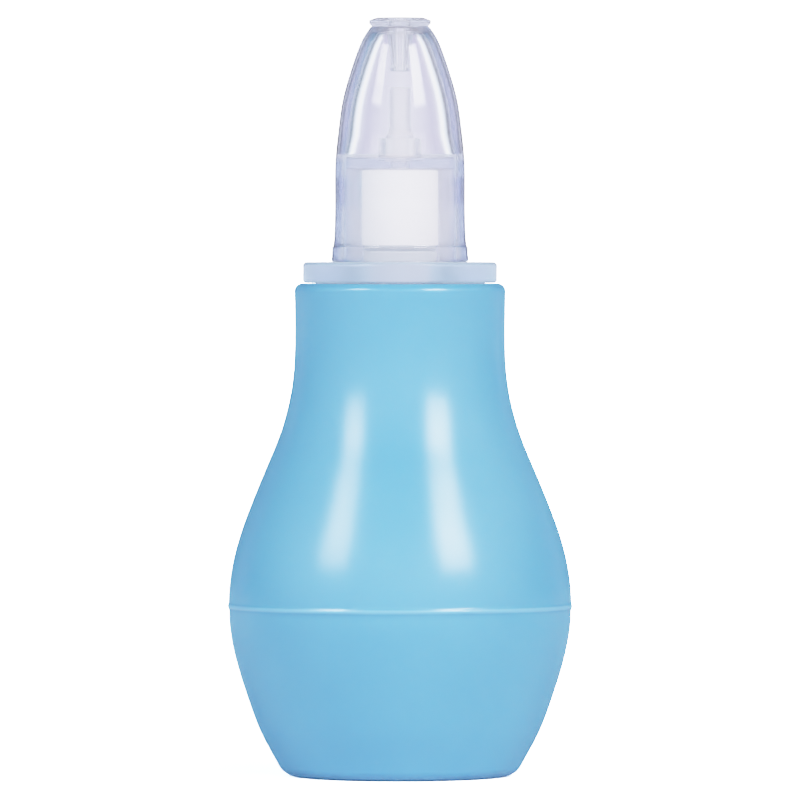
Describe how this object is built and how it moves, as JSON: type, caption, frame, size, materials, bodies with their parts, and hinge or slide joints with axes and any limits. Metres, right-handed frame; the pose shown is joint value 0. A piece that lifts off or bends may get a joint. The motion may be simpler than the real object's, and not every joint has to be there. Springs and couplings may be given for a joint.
{
  "type": "nasal aspirator",
  "caption": "Squeeze-bulb nasal aspirator: pear-shaped soft bulb, clear flange plug and barrel with filter, and a clear bullet-shaped nozzle with a hanging tip tube.",
  "frame": {"origin": "centre of the bulb's flat base", "axes": "+Z is the turning axis of every piece, from the base towards the nozzle tip; X and Y are any two square directions, because the object is round"},
  "size_m": [0.048, 0.048, 0.1062],
  "materials": {
    "bulb_vinyl": "sky-blue soft vinyl, satin gloss, slightly translucent",
    "clear_connector": "clear moulded plastic with a faint blue-violet tint",
    "clear_tube": "clear moulded plastic",
    "clear_nozzle": "clear glossy moulded plastic with a faint blue-violet tint",
    "clear_tip": "clear glossy moulded plastic",
    "white_filter": "white porous sintered plastic, matt"
  },
  "bodies": {
    "cup": {"bulb_cup": "bulb_vinyl"},
    "neck": {"bulb_shoulder": "bulb_vinyl"},
    "plug": {"flange_plug": "clear_connector"},
    "barrel": {"filter_barrel": "clear_connector", "chimney_tube": "clear_tube"},
    "filter": {"filter_plug": "white_filter"},
    "nozzle": {"nozzle_dome": "clear_nozzle", "tip_tube": "clear_tip"}
  },
  "joints": [
    {"name": "bulb_squeeze", "type": "slide", "parent": "cup", "child": "neck", "axis": [0, 0, -1], "range_m": [0, 0.012], "stiffness_N_per_m": 700, "springref_m": -0.0008, "deforming": ["bulb_shoulder"]},
    {"name": "plug_pull", "type": "slide", "parent": "neck", "child": "plug", "axis": [0, 0, 1], "range_m": [0, 0.02]},
    {"name": "barrel_pull", "type": "slide", "parent": "plug", "child": "barrel", "axis": [0, 0, 1], "range_m": [0, 0.03]},
    {"name": "nozzle_pull", "type": "slide", "parent": "barrel", "child": "nozzle", "axis": [0, 0, 1], "range_m": [0, 0.032]},
    {"name": "filter_draw", "type": "slide", "parent": "plug", "child": "filter", "axis": [0, 0, 1], "range_m": [0, 0.0152]}
  ],
  "couplings": [
    {"joint": "filter_draw", "follows": "barrel_pull", "ratio": 0.5}
  ]
}
